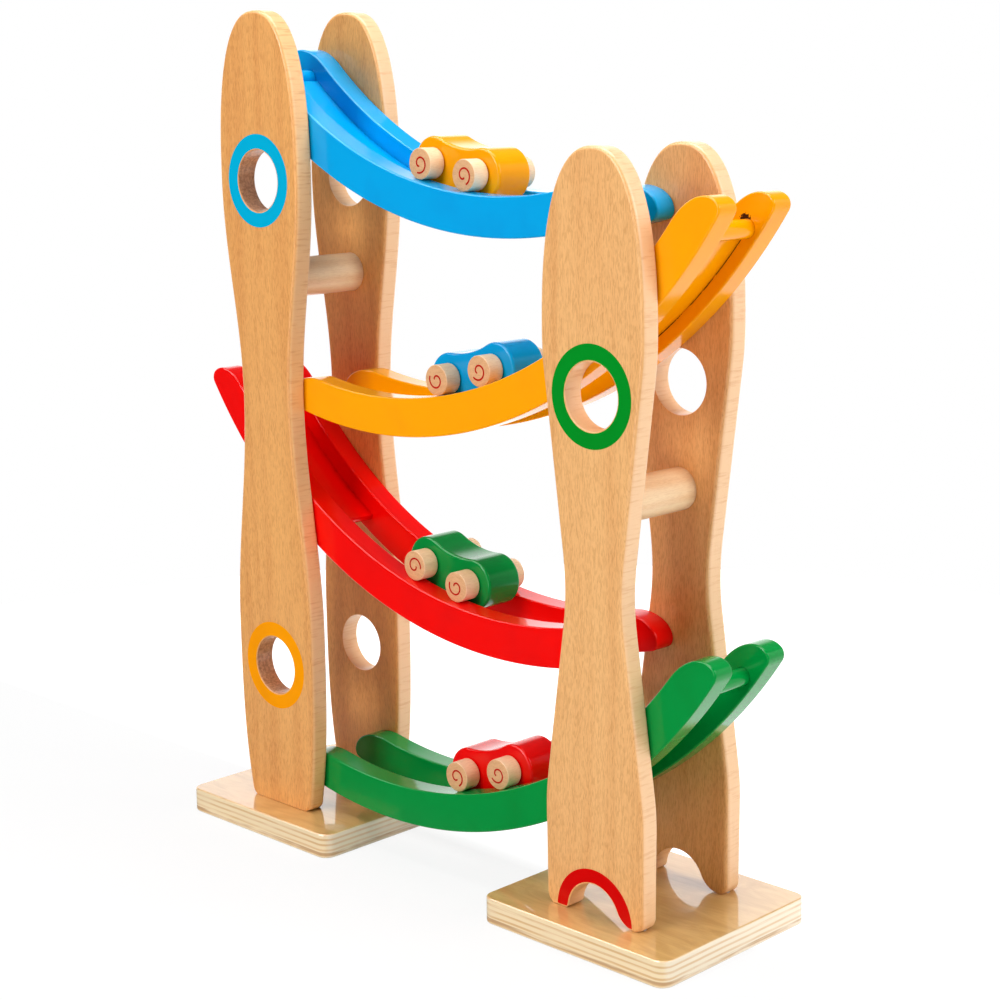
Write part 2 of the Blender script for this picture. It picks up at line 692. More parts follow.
# %% Car bodies
CAR_L, CAR_W, LOBE_R, CAR_WAIST, CAR_EASE = 54.0, 20.0, 11.75, 9.6, 1.4
WHEEL_BASE, WHEEL_R, WHEEL_L, AXLE_R, BORE_EASE = 28.0, 7.0, 8.6, 2.0, 0.1
ROLL_GAP, WHEEL_GAP = 0.15, 0.5
PARKED = (-15.6, -12.0, -13.3, -9.4)
RIDE_R = math.sqrt((RAIL_R - WHEEL_R - ROLL_GAP) ** 2 - (WHEEL_BASE / 2) ** 2)


def car_place(track):
    """Where a car stands on its track."""
    d = downhill(track)
    centre = Matrix.Translation(Vector((d * ARC_SHIFT, 0, arc_z(track))) * MM)
    tilt = Matrix.Rotation(-math.radians(d * PARKED[track]), 4, "Y")
    return centre @ tilt @ Matrix.Translation(Vector((0, 0, -RIDE_R)) * MM)


def car_loop():
    """The peanut outline about the middle of the axle line."""
    cx = CAR_L / 2 - LOBE_R
    dip_r = (cx ** 2 + CAR_WAIST ** 2 - LOBE_R ** 2) / (2 * (LOBE_R - CAR_WAIST))
    turn = math.degrees(math.atan(cx / (CAR_WAIST + dip_r)))
    return np.vstack([
        arc(0, -CAR_WAIST - dip_r, dip_r, 90 + turn, 90 - turn, 40)[:-1],
        arc(cx, 0, LOBE_R, -90 - turn, 90 + turn, 120)[:-1],
        arc(0, CAR_WAIST + dip_r, dip_r, 270 + turn, 270 - turn, 40)[:-1],
        arc(-cx, 0, LOBE_R, 90 - turn, 270 + turn, 120)[:-1],
    ])


car_bodies = {}
for i, car in enumerate(CARS):
    bores = [opening(circle(sx * WHEEL_BASE / 2, 0, AXLE_R + GLUE_GAP, 32), BORE_EASE) for sx in (-1, 1)]
    body = board(spaced(car_loop(), STEP["car"]), CAR_W, CAR_EASE, bores)
    body = body.made(f"lacquered_{car}_car_body", UPRIGHT)
    body.matrix_world = car_place(i)
    car_bodies[car] = stands_for(body, f"{car}_car_body", f"{car}_car")
print("car bodies:", [len(b.data.polygons) for b in car_bodies.values()], "faces")

# %% [markdown]
# ## Wheels
# The wheels are slices of beech dowel with a blind bore for the axle. Their outer ends
# have a painted red swirl: one turn of a spiral that opens as it goes round. A swirl
# could be drawn in the finish, but as a film of paint with its own thin mesh it stays
# sharp however close one looks. Every wheel has been turned to another angle.

# %% Swirl outline
SWIRL_IN, SWIRL_OUT, SWIRL_TURN, SWIRL_WIDTH, SWIRL_POWER = 1.25, 4.2, 350.0, 0.85, 0.8
SWIRL_END = {
    ("red", "left"): -79, ("red", "right"): 202, ("green", "left"): 3, ("green", "right"): 168,
    ("blue", "left"): 147, ("blue", "right"): 213, ("yellow", "left"): -101, ("yellow", "right"): -56,
}


def swirl_loop(end_angle):
    """The outline of a spiral stroke with round ends; it opens clockwise."""
    t = np.linspace(0, 1, 90)
    a = np.radians(end_angle + SWIRL_TURN * (1 - t))
    r = SWIRL_IN + (SWIRL_OUT - SWIRL_IN) * t ** SWIRL_POWER
    line = np.stack([r * np.cos(a), r * np.sin(a)], 1)
    step = np.gradient(line, axis=0)
    step /= np.linalg.norm(step, axis=1)[:, None]
    side = np.stack([step[:, 1], -step[:, 0]], 1) * SWIRL_WIDTH / 2
    head, tail = (math.degrees(math.atan2(s[1], s[0])) for s in (step[-1], step[0]))
    return np.vstack([
        line + side,
        arc(*line[-1], SWIRL_WIDTH / 2, head - 90, head + 90, 12)[1:-1],
        (line - side)[::-1],
        arc(*line[0], SWIRL_WIDTH / 2, tail + 90, tail + 270, 12)[1:-1],
    ])


print("a swirl is drawn with", len(swirl_loop(0)), "points")

# %% [markdown]
# The profile of a wheel runs from the bottom of the bore to the inner end, along the side
# and over to the outer end. Like a dowel, a wheel is turned along its own Z and then laid
# down. The swirl takes the same placing and lies on the outer end.

# %% Wheels with their swirls
WHEEL_EASE, BORE_R, BORE_DEPTH = 0.45, AXLE_R + SOCKET_PLAY, 6.0
WHEEL_PROFILE = [
    [(BORE_R, BORE_DEPTH), (BORE_R, 0)],
    [(BORE_R, 0), (WHEEL_R - WHEEL_EASE, 0)],
    rim(WHEEL_R, 0, WHEEL_EASE, -1),
    [(WHEEL_R, WHEEL_EASE), (WHEEL_R, WHEEL_L - WHEEL_EASE)],
    rim(WHEEL_R, WHEEL_L, WHEEL_EASE, 1),
]
PAINT_FILM, FILM_EASE = 0.1, 0.02
BACK_SWIRL_SHIFT = 115

wheels, swirls = [], []
for i, car in enumerate(CARS):
    for side in SIDES:
        for face in FACES:
            name, body = f"{car}_car_{side}_{face}_wheel", f"{car}_car_{side}_wheelset"
            hub = Vector((sign_of(side) * WHEEL_BASE / 2, sign_of(face) * (CAR_W / 2 + WHEEL_GAP), 0)) * MM
            laid = LAID_BACK if face == "front" else LAID_BACK_TURNED
            wheel = turned(WHEEL_PROFILE, 64).made(f"turned_{name}", FLAT)
            wheel.matrix_world = car_place(i) @ Matrix.Translation(hub) @ laid
            wheels.append(stands_for(wheel, name, body))
            end_angle = SWIRL_END[car, side] + (0 if face == "front" else BACK_SWIRL_SHIFT)
            swirl = board(spaced(swirl_loop(end_angle), STEP["swirl"]), PAINT_FILM, FILM_EASE)
            swirl = swirl.made(f"swirl_{car}_car_{side}_{face}", FLAT, (0, 0, WHEEL_L))
            swirl.matrix_world = car_place(i) @ Matrix.Translation(hub) @ laid
            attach(swirl, body)
            swirls.append(swirl)
print("wheels:", len(wheels), "swirls:", len(swirls))

# %% [markdown]
# ## Painted rings and arch band
# The front panels have a painted ring round each window and a red band over the arch.
# They are films of paint too: they lie on the face of the wood and leave the sanded rim
# of the hole bare. The band is as wide as the rings at the top, ends square on the left
# leg and runs out to a point on the flare of the right leg.

# %% Rings and band
RING_OUT, RING_IN = 21.9, 15.1
RING_PAINTS = {"left": ("blue", "yellow"), "right": ("green",)}
BAND_X, BAND_Z, BAND_R, BAND_BARE, BAND_FOOT = 0.5, 0.2, 21.5, 0.6, 0.9
FRONT_FACE_Y = -(PANEL_GAP / 2 + PANEL_T)
films = {}


def paint_film(name, outline, side, holes=()):
    """A film of paint on the front face of a panel."""
    film = board(outline, PAINT_FILM, FILM_EASE, holes)
    film = film.made(name, UPRIGHT, (TOWER_X[side], FRONT_FACE_Y, FOOT_T))
    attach(film, "stand")
    films[name] = film


for side in SIDES:
    for z, paint in zip(WINDOWS[side], RING_PAINTS[side]):
        bare = opening(circle(0, z, RING_IN), FILM_EASE)
        paint_film(f"ring_{side}_{paint}", circle(0, z, RING_OUT, 160), side, [bare])

inner = np.vstack(arch_path(BAND_BARE))
reach = np.hypot(inner[:, 0] - BAND_X, inner[:, 1] - BAND_Z)
inner = inner[(reach < BAND_R) & (inner[:, 1] > BAND_FOOT)]
tip = inner[-1] - (BAND_X, BAND_Z)
start = math.degrees(math.atan2(tip[1], tip[0]))
end = 180 - math.degrees(math.asin((BAND_FOOT - BAND_Z) / BAND_R))
band_loop = np.vstack([arc(BAND_X, BAND_Z, BAND_R, start, end, 90), inner])
paint_film("band_right_red", spaced(band_loop, STEP["band"]), "right")
print("films of paint:", list(films))

# %% [markdown]
# ## Finishes
# A finish is a tree of shader nodes. A small class keeps the trees readable. It has a
# short word for each kind of node that is needed, and it sets a socket to a constant or
# links it to another socket, whichever it is given. Every texture is made from a place in
# the piece's own space, in metres, so the grain keeps its real size on a tall panel and
# on a small wheel, and moves with the piece.

# %% Shader trees
class Tree:
    """A shader tree with a short word for each kind of node that is needed."""

    def __init__(self, tree):
        self.tree = tree
        tree.nodes.clear()

    def put(self, value, socket):
        """Links a socket to another one, or sets it to a constant."""
        if isinstance(value, bpy.types.NodeSocket):
            self.tree.links.new(value, socket)
        else:
            socket.default_value = value

    def add(self, kind, sockets, **settings):
        """A new node with its settings and sockets filled in; gives its outputs."""
        node = self.tree.nodes.new(f"ShaderNode{kind}")
        for key, value in settings.items():
            setattr(node, key, value)
        for key, value in sockets.items():
            self.put(value, node.inputs[key])
        return node.outputs

    def maths(self, operation, *values):
        """A Math node; values are numbers or sockets."""
        return self.add("Math", dict(enumerate(values)), operation=operation)[0]

    def times(self, one, two):
        return self.maths("MULTIPLY", one, two)

    def plus(self, one, two):
        return self.maths("ADD", one, two)

    def minus(self, one, two):
        return self.maths("SUBTRACT", one, two)

    def most(self, one, two):
        return self.maths("MAXIMUM", one, two)

    def inverse(self, value):
        """1 becomes 0 and 0 becomes 1."""
        return self.minus(1.0, value)

    def weighed(self, one, share, two, rest):
        """The sum of two values, each times its share."""
        return self.plus(self.times(one, share), self.times(two, rest))

    def eased(self, value, low, high, start=0.0, end=1.0):
        """start below low, end above high, and smooth between them."""
        limits = {"From Min": low, "From Max": high, "To Min": start, "To Max": end}
        return self.add("MapRange", {"Value": value, **limits}, interpolation_type="SMOOTHSTEP")["Result"]

    def vector(self, operation, one, two):
        """A VectorMath node; gives its outputs."""
        return self.add("VectorMath", {0: one, 1: two}, operation=operation)

    def shifted(self, place, way):
        """Moves a place by a vector."""
        return self.vector("ADD", place, way)[0]

    def stretched(self, place, scale):
        """Multiplies a place by a scale for each direction."""
        return self.vector("MULTIPLY", place, scale)[0]

    def parts(self, vector):
        """The X, Y and Z of a vector."""
        return self.add("SeparateXYZ", {0: vector})

    def noise(self, place, scale, detail=2.0, roughness=0.5, distortion=0.0):
        """A noise between 0 and 1 with a scale for each direction."""
        kind = {"Scale": 1.0, "Detail": detail, "Roughness": roughness, "Distortion": distortion}
        return self.add("TexNoise", {"Vector": self.stretched(place, scale), **kind})["Fac"]

    def blended(self, share, one, two, blend="MIX"):
        """Mixes two colours, which are the sockets 6 and 7 of a Mix node."""
        return self.add("Mix", {0: share, 6: one, 7: two}, data_type="RGBA", blend_type=blend)[2]

    def tinted(self, share, colour, tint):
        """A colour that is multiplied by a tint for some share."""
        return self.blended(share, colour, self.blended(1.0, colour, tint, "MULTIPLY"))

    def use(self, group, sockets):
        """Uses a shared group and gives its outputs."""
        return self.add("Group", sockets, node_tree=group.tree)


def linear(red, green, blue):
    """A screen colour, 0 to 255, turned by the sRGB formula into the linear one that shaders use."""
    return tuple((v / 255 / 12.92) if v < 10.3 else ((v / 255 + 0.055) / 1.055) ** 2.4
                 for v in (red, green, blue)) + (1.0,)


print("white is", linear(255, 255, 255))

# %% [markdown]
# Two kinds of tree are built on it. A group is an effect that several finishes share, with
# named inputs and outputs. A finish is a material with one Principled shader; it knows the
# place on the piece and the direction that the surface faces.

# %% Groups and finishes
class Group(Tree):
    """A shared effect with named sockets, each of them a Vector, a Color or a Float."""

    def __init__(self, name, inputs, outputs):
        super().__init__(bpy.data.node_groups.new(name, "ShaderNodeTree"))
        for way, sockets in (("INPUT", inputs), ("OUTPUT", outputs)):
            for label, kind in sockets.items():
                self.tree.interface.new_socket(label, in_out=way, socket_type=f"NodeSocket{kind}")
        self.given = self.tree.nodes.new("NodeGroupInput").outputs
        self.result = self.tree.nodes.new("NodeGroupOutput").inputs

    def gives(self, sockets):
        """Says what comes out of the group."""
        for label, value in sockets.items():
            self.put(value, self.result[label])


class Finish(Tree):
    """A material with a Principled shader."""

    def __init__(self, name):
        self.material = bpy.data.materials.new(name)
        self.material.use_nodes = True
        super().__init__(self.material.node_tree)
        self.shader = self.tree.nodes.new("ShaderNodeBsdfPrincipled")
        self.add("OutputMaterial", {"Surface": self.shader.outputs[0]})
        at = self.add("TexCoord", {})
        self.place, self.facing = at["Object"], at["Normal"]

    def shade(self, sockets):
        """Fills sockets of the Principled shader."""
        for label, value in sockets.items():
            self.put(value, self.shader.inputs[label])

    def bump(self, height, strength, distance=0.0001):
        """Lets a height bend the light on the surface."""
        sockets = {"Height": height, "Strength": strength, "Distance": distance}
        self.shade({"Normal": self.add("Bump", sockets)[0]})

    def toward(self, axis):
        """How much the surface faces along one axis of the piece, either way."""
        return self.maths("ABSOLUTE", self.parts(self.facing)[axis])

    def distance_to(self, x, z):
        """Distance from a point of the drawing, measured across the face of a board."""
        flat = self.stretched(self.place, (1, 0, 1))
        return self.vector("DISTANCE", flat, (x * MM, 0, z * MM))["Value"]


def dress(pieces, finish):
    """Gives new pieces their finish."""
    for piece in pieces:
        piece.data.materials.append(finish.material)


def dress_node(node, finish):
    """Gives every material slot of a carried-over solid the same finish."""
    for slot in node.material_slots:
        slot.material = finish.material


print("words for nodes:", [word for word in vars(Tree) if not word.startswith("_")])

# %% [markdown]
# ### Beech
# Beech has three things to show. Broad soft streaks follow the growth of the tree. Fine
# fibres run along the grain. And everywhere lie the rays: short dark flecks, a third of a
# millimetre wide and two or three millimetres long. All of them are stretched along the
# piece's own Z. Most flecks are the peaks of a fine stretched noise. Cells of a Voronoi
# texture, of which a part is left out by chance, add some that are broader and fainter. The
# group gives a colour, a roughness and a height, and each wooden piece uses it with its own
# place and tones.

# %% Beech grain group
FLECK_TINT, FIBRE_TINT = (0.72, 0.58, 0.42, 1), (0.84, 0.77, 0.70, 1)
beech = Group(
    "beech grain",
    {"Place": "Vector", "Pale": "Color", "Deep": "Color", "Fleck": "Float", "Streak": "Float"},
    {"Colour": "Color", "Roughness": "Float", "Height": "Float"},
)
given = beech.given
wander = beech.noise(given["Place"], (9, 9, 5))
sway = beech.add("CombineXYZ", {"X": beech.times(wander, 0.02)})[0]
place = beech.shifted(given["Place"], sway)
broad = beech.eased(beech.noise(place, (95, 95, 3.2), 3.0, 0.55, 0.4), 0.36, 0.68)
soft = beech.eased(beech.noise(place, (30, 30, 2.0)), 0.3, 0.7)
streak = beech.times(beech.weighed(broad, 0.65, soft, 0.35), given["Streak"])
ground = beech.blended(streak, given["Pale"], given["Deep"])
cell_place = beech.stretched(place, (1500, 1500, 270))
cells = beech.add("TexVoronoi", {"Vector": cell_place, "Scale": 1.0, "Randomness": 1.0}, feature="F1")
dash = beech.inverse(beech.eased(cells["Distance"], 0.12, 0.42))
chance = beech.add("SeparateColor", {"Color": cells["Color"]})
dash = beech.times(dash, beech.eased(chance["Red"], 0.15, 0.5))
dash = beech.times(dash, beech.plus(0.55, chance["Green"]))
rays = beech.eased(beech.noise(place, (3200, 3200, 340), 1.5), 0.48, 0.6)
fleck = beech.times(beech.weighed(dash, 0.2, rays, 0.6), given["Fleck"])
fleck = beech.maths("MINIMUM", fleck, 1.0)
flecked = beech.tinted(fleck, ground, FLECK_TINT)
fibre = beech.noise(place, (1500, 1500, 55), 2.0, 0.6)
beech.gives({
    "Colour": beech.tinted(beech.times(beech.eased(fibre, 0.4, 0.75), 0.22), flecked, FIBRE_TINT),
    "Roughness": beech.plus(0.34, beech.times(fibre, 0.16)),
    "Height": beech.minus(beech.times(fibre, 0.4), fleck),
})
print("beech grain:", len(beech.tree.nodes), "nodes")

# %% [markdown]
# The place is shifted for each piece, as each board comes from another part of the plank.
# A thin clear lacquer lies on the wood, which the shader's coat gives. The sawn edges of a
# panel have their own tones, with short ticks instead of flecks, and the walls of a sawn
# hole can be browner and full of pores.

# %% Beech finish
PALE_BEECH = linear(246, 190, 122), linear(230, 164, 96)
HONEY_BEECH = linear(242, 178, 102), linear(222, 150, 78)
DOWEL_BEECH = linear(255, 226, 184), linear(240, 194, 144)
SIDE_BEECH = linear(250, 204, 156), linear(238, 184, 134)
BROWN_SIDES = linear(248, 196, 136), linear(230, 166, 108)
CUT_BEECH = linear(222, 164, 118), linear(186, 126, 84)


def sawn_edges(finish, place, face_wood, sides, cuts):
    """The colour of a panel whose edges have other tones than its faces."""
    ticks = finish.noise(place, (70, 70, 800), 3.0, 0.6)
    edge_wood = finish.blended(finish.eased(ticks, 0.48, 0.74), *sides)
    for x, z, radius in cuts:
        pores = finish.noise(place, (1400, 700, 500), 3.0, 0.7)
        cut_wood = finish.blended(finish.eased(pores, 0.35, 0.65), *CUT_BEECH)
        outside = finish.eased(finish.distance_to(x, z), (radius + 1) * MM, (radius + 2) * MM)
        edge_wood = finish.blended(outside, cut_wood, edge_wood)
    is_edge = finish.inverse(finish.eased(finish.toward("Y"), 0.45, 0.8))
    return finish.blended(is_edge, face_wood, edge_wood)


def beech_finish(name, shift, tones, fleck=0.9, streak=0.8, sides=None, cuts=()):
    """Lacquered beech with its grain along Z; sides are the tones of sawn edges, cuts the brown holes."""
    finish = Finish(name)
    place = finish.shifted(finish.place, shift)
    looks = {"Pale": tones[0], "Deep": tones[1], "Fleck": fleck, "Streak": streak}
    wood = finish.use(beech, {"Place": place, **looks})
    colour = sawn_edges(finish, place, wood["Colour"], sides, cuts) if sides else wood["Colour"]
    finish.shade({"Base Color": colour, "Roughness": wood["Roughness"]})
    finish.shade({"Coat Weight": 0.3, "Coat Roughness": 0.12})
    finish.bump(wood["Height"], 0.35, 0.00012)
    return finish


print("pale beech is", [round(v, 3) for v in PALE_BEECH[0]])

# %% [markdown]
# The boards of the left tower are more honey-coloured than those of the right one. Only the
# left front panel has the browner edges and windows. The pins between the rails and the
# panels keep the shape of their solids and get the finish of the dowels.

# %% Beech pieces
for number, ((side, face), panel) in enumerate(panels.items()):
    shift = (0.13 * number, 0.07 * number, 0.31 * number)
    tones = HONEY_BEECH if side == "left" else PALE_BEECH
    brown = (side, face) == ("left", "front")
    cuts = [(TOWER_X[side], FOOT_T + z, WINDOW_R) for z in WINDOWS[side]] if brown else ()
    sides = BROWN_SIDES if brown else SIDE_BEECH
    name = f"beech of the {side} {face} panel"
    dress([panel], beech_finish(name, shift, tones, sides=sides, cuts=cuts))
dowel_beech = beech_finish("beech of the dowels", (0.4, 0.2, 0.1), DOWEL_BEECH, 0.35, 1.0)
dress(ties.values(), dowel_beech)
for side in SIDES:
    for face in FACES:
        dress_node(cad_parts[f"{side}_{face}_rail_pins"], dowel_beech)
print("beech pieces:", len(panels) + len(ties))

# %% [markdown]
# ### Wheels
# A wheel is beech too, but its ends show the grain from its end: browner, with tiny pores
# and no flecks. The direction of the surface in the piece's own space tells the two apart,
# so one finish serves the side and the ends. Each wheel takes its own place in the wood.

# %% Wheel finish
WHEEL_PALE, WHEEL_DEEP = linear(253, 224, 186), linear(240, 196, 148)
END_BEECH = linear(230, 178, 128), linear(204, 146, 98)

wheel_beech = Finish("beech of the wheels")
chance = wheel_beech.add("ObjectInfo", {})["Random"]
spread = wheel_beech.add("CombineXYZ", {"X": chance, "Y": wheel_beech.times(chance, 3.7), "Z": chance})[0]
place = wheel_beech.shifted(wheel_beech.shifted(wheel_beech.place, (0.21, 0.37, 0.05)), spread)
looks = {"Pale": WHEEL_PALE, "Deep": WHEEL_DEEP, "Fleck": 0.45, "Streak": 0.7}
wood = wheel_beech.use(beech, {"Place": place, **looks})
pores = wheel_beech.noise(place, (2300, 2300, 300), 3.0, 0.7)
rings = wheel_beech.noise(place, (260, 900, 40), 3.0, 0.6, 0.6)
end_tone = wheel_beech.eased(wheel_beech.weighed(pores, 0.6, rings, 0.4), 0.38, 0.66)
end_wood = wheel_beech.blended(wheel_beech.times(end_tone, 0.8), *END_BEECH)
is_end = wheel_beech.eased(wheel_beech.toward("Z"), 0.7, 0.9)
colour = wheel_beech.blended(is_end, wood["Colour"], end_wood)
wheel_beech.shade({"Base Color": colour, "Roughness": 0.5})
wheel_beech.bump(wheel_beech.plus(wood["Height"], pores), 0.25)
dress(wheels, wheel_beech)
print("wheels with their finish:", len(wheels))

# %% [markdown]
# ### Plywood
# The feet are birch plywood. On their edges the layers show as light and dark lines, a
# little over a millimetre each, and not perfectly straight. One layer near the bottom is
# browner than the rest. The top is one smooth sheet with a faint cloudy figure under a
# gloss varnish that mirrors what stands on it.

# %% Plywood group
PLY_MM, WAVER = 4 / 3, 0.0007
CREAM = linear(252, 236, 208), linear(253, 230, 188)
TAN = linear(234, 198, 150), linear(228, 186, 128)
BOTTOM_TAN = linear(206, 162, 112)
TOP_BIRCH, TOP_FIBRE = (linear(222, 178, 114), linear(202, 156, 92)), linear(190, 138, 80)

ply = Group(
    "plywood layers",
    {"Place": "Vector", "Facing": "Vector"},
    {"Colour": "Color", "Height": "Float", "Edge": "Float"},
)
place = ply.given["Place"]
height = ply.parts(place)["Z"]
waver = ply.times(ply.minus(ply.noise(place, (28, 28, 60)), 0.5), WAVER)
layer = ply.times(ply.plus(height, waver), 1 / (2 * PLY_MM * MM))
dark_ply = ply.eased(ply.maths("PINGPONG", layer, 0.5), 0.2, 0.42)
lengthwise = ply.noise(place, (25, 25, 420), 3.0, 0.65)
toward = ply.parts(ply.given["Facing"])
along_x = ply.eased(ply.maths("ABSOLUTE", toward["Y"]), 0.4, 0.8)
cream, tan = ply.blended(along_x, *CREAM), ply.blended(along_x, *TAN)
edge_wood = ply.blended(ply.times(dark_ply, ply.eased(lengthwise, 0.25, 0.6)), cream, tan)
bottom_ply = ply.times(ply.eased(height, 0.0011, 0.0016), ply.inverse(ply.eased(height, 0.0026, 0.0031)))
edge_wood = ply.blended(ply.times(bottom_ply, ply.eased(lengthwise, 0.35, 0.6)), edge_wood, BOTTOM_TAN)
cloud = ply.noise(place, (26, 90, 40), 4.0, 0.6, 1.2)
fine = ply.noise(place, (90, 1300, 90), 3.0, 0.6)
top_wood = ply.blended(ply.eased(cloud, 0.34, 0.7), *TOP_BIRCH)
top_wood = ply.blended(ply.times(ply.eased(fine, 0.45, 0.8), 0.35), top_wood, TOP_FIBRE)
edge = ply.inverse(ply.eased(ply.maths("ABSOLUTE", toward["Z"]), 0.55, 0.9))
ply.gives({
    "Colour": ply.blended(edge, top_wood, edge_wood),
    "Height": ply.times(ply.minus(fine, dark_ply), edge),
    "Edge": edge,
})
print("plywood:", len(ply.tree.nodes), "nodes")

# %% [markdown]
# The varnish is the coat of the shader, strong and smooth. Under it the sawn edges are a
# little rougher than the top.

# %% Plywood finish
varnish = Finish("varnished plywood")
layers = varnish.use(ply, {"Place": varnish.place, "Facing": varnish.facing})
roughness = varnish.plus(0.42, varnish.times(layers["Edge"], 0.1))
varnish.shade({"Base Color": layers["Colour"], "Roughness": roughness})
varnish.shade({"Coat Weight": 1.0, "Coat Roughness": 0.04, "Coat IOR": 1.75})
varnish.bump(layers["Height"], 0.3)
dress(feet.values(), varnish)
print("feet with their finish:", len(feet))

# %% [markdown]
# ### Lacquer
# The tracks, cars, rings and swirls have an opaque gloss lacquer. It isn't a flat colour:
# the coat is a little thicker in some places, it shrinks into the fibres of the wood
# under it, and its surface has the fine unevenness of sprayed paint. One group makes
# these three effects, and each paint uses it with its own colour.

# %% Lacquer group
lacquer = Group(
    "lacquer film",
    {"Place": "Vector", "Paint": "Color", "Thin": "Color"},
    {"Colour": "Color", "Roughness": "Float", "Height": "Float"},
)
given = lacquer.given
coat = lacquer.noise(given["Place"], (38, 38, 38), 3.0, 0.55)
fibres = lacquer.noise(given["Place"], (70, 900, 900), 2.0, 0.6)
peel = lacquer.noise(given["Place"], (520, 520, 520))
thin = lacquer.times(lacquer.eased(coat, 0.4, 0.75), 0.5)
lacquer.gives({
    "Colour": lacquer.blended(thin, given["Paint"], given["Thin"]),
    "Roughness": lacquer.plus(0.09, lacquer.times(coat, 0.1)),
    "Height": lacquer.weighed(peel, 0.6, fibres, 0.4),
})
print("lacquer film:", len(lacquer.tree.nodes), "nodes")

# %% [markdown]
# The four paints are clear toy colours. The second colour is the same paint where it
# lies thinner. The printed rings are a little duller than the tracks.

# %% Lacquer finishes
PAINTS = {
    "blue": (linear(0, 165, 231), linear(0, 152, 222)),
    "yellow": (linear(255, 166, 0), linear(252, 156, 0)),
    "red": (linear(246, 4, 2), linear(232, 2, 2)),
    "green": (linear(1, 146, 62), linear(1, 136, 54)),
}
FILM_PAINTS = {
    "ring_left_blue": (linear(0, 172, 214), linear(0, 160, 202)),
    "ring_left_yellow": (linear(250, 156, 0), linear(240, 146, 0)),
    "ring_right_green": (linear(2, 142, 36), linear(2, 132, 32)),
    "band_right_red": (linear(213, 2, 1), linear(200, 2, 1)),
}
SWIRL_INK = linear(190, 34, 24), linear(172, 26, 18)


def lacquer_finish(name, tones, unevenness=0.1, gloss=0.26):
    """Lacquer over wood in the tones of a full and a thin coat."""
    finish = Finish(name)
    film = finish.use(lacquer, {"Place": finish.place, "Paint": tones[0], "Thin": tones[1]})
    finish.shade({"Base Color": film["Colour"], "Roughness": film["Roughness"], "Specular IOR Level": gloss})
    finish.bump(film["Height"], unevenness)
    return finish


lacquers = {name: lacquer_finish(f"{name} lacquer", tones) for name, tones in PAINTS.items()}
for (track, face), rail in rails.items():
    if (track, face) != ("yellow", "back"):
        dress([rail], lacquers[track])
for pieces in (decks, spacers, car_bodies):
    for paint, piece in pieces.items():
        dress([piece], lacquers[paint])
for name, film in films.items():
    dress([film], lacquer_finish(name.replace("_", " "), FILM_PAINTS[name], 0.2, 0.1))
dress(swirls, lacquer_finish("swirl ink", SWIRL_INK))
print("lacquers:", list(lacquers))

# %% [markdown]
# One rail has two small faults. The drill tore out some wood above the dowel hole in the
# yellow back rail, and the joint between that rail and its deck is open and dark. Both are
# masks on the inner face: one from the distance to a point, with a noise that frays its
# edge, and one from the distance to the deck's arc, broken up by a slow noise. The joint
# is only dark from SEAM_START to the upper end of the deck.

# %% Faults of the yellow rail
CHIP_AT, CHIP_R, CHIP_RIM, FRAY = (147.6, 309.4), 2.9, 0.3, 0.0045
SEAM_W, SEAM_CORE, SEAM_DROP, SEAM_START = 0.3, 0.6, 0.25, 96.0
SEAM_R = RAIL_R + DECK_DEPTH + DECK_T + SEAM_DROP
DARK_WOOD = linear(58, 26, 8)

chipped = lacquer_finish("yellow lacquer with a torn hole", PAINTS["yellow"])
grit = chipped.noise(chipped.place, (1100, 1100, 900), 3.0, 0.7)
fray = chipped.times(chipped.minus(grit, 0.5), FRAY)
frayed = chipped.plus(chipped.distance_to(*CHIP_AT), fray)
torn = chipped.inverse(chipped.eased(frayed, (CHIP_R - CHIP_RIM) * MM, CHIP_R * MM))

yellow = TRACKS.index("yellow")
from_centre = chipped.distance_to(downhill(yellow) * ARC_SHIFT, arc_z(yellow))
off_arc = chipped.maths("ABSOLUTE", chipped.minus(from_centre, SEAM_R * MM))
patchy = chipped.eased(chipped.noise(chipped.place, (150, 150, 150), 3.0, 0.7), 0.42, 0.5)
in_seam = chipped.inverse(chipped.eased(off_arc, SEAM_CORE * SEAM_W * MM, SEAM_W * MM))
seam = chipped.times(patchy, in_seam)
deck_end = on_arc(yellow, [deck_angle(yellow)], SEAM_R)[0][0]
along_x = chipped.parts(chipped.place)["X"]
seam = chipped.times(seam, chipped.maths("LESS_THAN", along_x, deck_end * MM))
seam = chipped.times(seam, chipped.maths("GREATER_THAN", along_x, SEAM_START * MM))

inward = chipped.minus(0.0, chipped.parts(chipped.facing)["Y"])
dark = chipped.times(chipped.most(torn, seam), chipped.eased(inward, 0.5, 0.9))
painted = chipped.shader.inputs["Base Color"].links[0].from_socket
chipped.shade({"Base Color": chipped.blended(dark, painted, DARK_WOOD)})
dress([rails["yellow", "back"]], chipped)
print("torn hole at", CHIP_AT, "open joint at radius", SEAM_R)

# %% [markdown]
# ### Steel
# The axles and screws keep the shape of their solids, which is right for a plain pin and
# for a screw head seen from below. They get drawn steel with faint lines round the pin.

# %% Steel finish
STEEL = linear(196, 198, 202), linear(160, 162, 168)
steel = Finish("drawn steel")
lines = steel.noise(steel.place, (300, 5200, 300), 2.0, 0.6)
roughness = steel.plus(0.25, steel.times(lines, 0.2))
steel.shade({"Base Color": steel.blended(lines, *STEEL), "Roughness": roughness, "Metallic": 1.0})
steel.bump(lines, 0.15, 0.00005)
steel_nodes = [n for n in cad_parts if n.endswith("_axle") or n.endswith("_foot_screws")]
for name in steel_nodes:
    dress_node(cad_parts[name], steel)
print("steel pieces:", len(steel_nodes))

